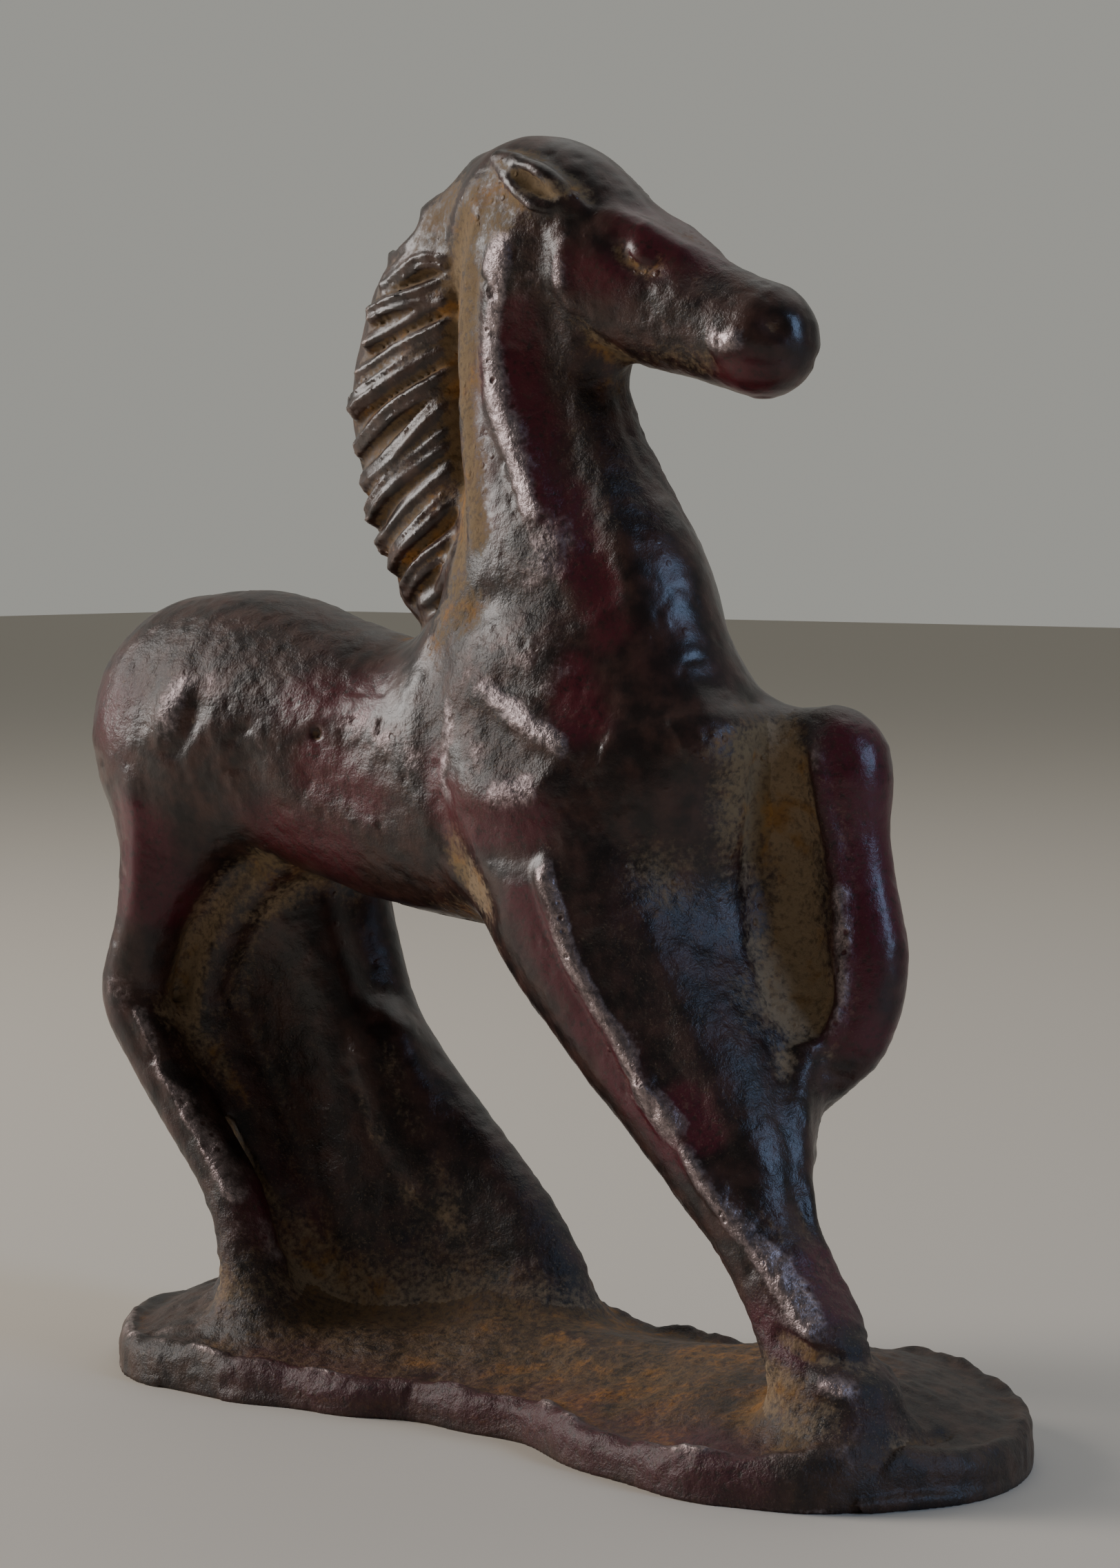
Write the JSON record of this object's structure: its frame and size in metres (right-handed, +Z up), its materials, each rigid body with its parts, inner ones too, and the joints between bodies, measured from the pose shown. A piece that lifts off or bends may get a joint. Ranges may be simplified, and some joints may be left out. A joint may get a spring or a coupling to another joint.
{
  "type": "bronze horse statuette",
  "caption": "Cast bronze standing horse with one foreleg raised, upright neck and crested mane, on a low rough ground base.",
  "frame": {"origin": "middle of the whole figure's footprint box, on the flat filed underside of the ground", "axes": "+X the way the horse faces, +Y the horse's left side, +Z up"},
  "size_m": [0.1428, 0.0526, 0.1585],
  "materials": {
    "body_bronze": "dark red-brown patinated bronze, waxed to a soft gloss and worn grey on the high spots",
    "mane_bronze": "dark brown patinated bronze with polished lock crests and ochre dust in the cuts",
    "leg_bronze": "dark purple-brown patinated bronze, glossy on the outside and grainy as cast inside",
    "ground_bronze": "rough as-cast brown bronze with ochre dust and a worn bright rim",
    "dowel_brass": "turned brass rod, bright",
    "steel": "plain machined steel, slightly dull"
  },
  "bodies": {
    "root": {"ground_base": "ground_bronze", "hindquarters": "body_bronze", "barrel": "body_bronze", "forehand": "body_bronze", "neck": "body_bronze", "head": "body_bronze", "mane_crest": "mane_bronze", "foreleg_right": "leg_bronze", "foreleg_left": "leg_bronze", "hind_leg_right": "leg_bronze", "hind_leg_left": "leg_bronze", "tail": "leg_bronze", "loin_dowels": "dowel_brass", "girth_dowels": "dowel_brass", "neck_dowels": "dowel_brass", "head_dowel": "dowel_brass", "mane_pins": "dowel_brass", "shoulder_dowels": "dowel_brass", "hip_dowels": "dowel_brass", "hoof_studs": "steel", "stud_washers": "steel", "stud_nuts": "steel"}
  },
  "joints": []
}
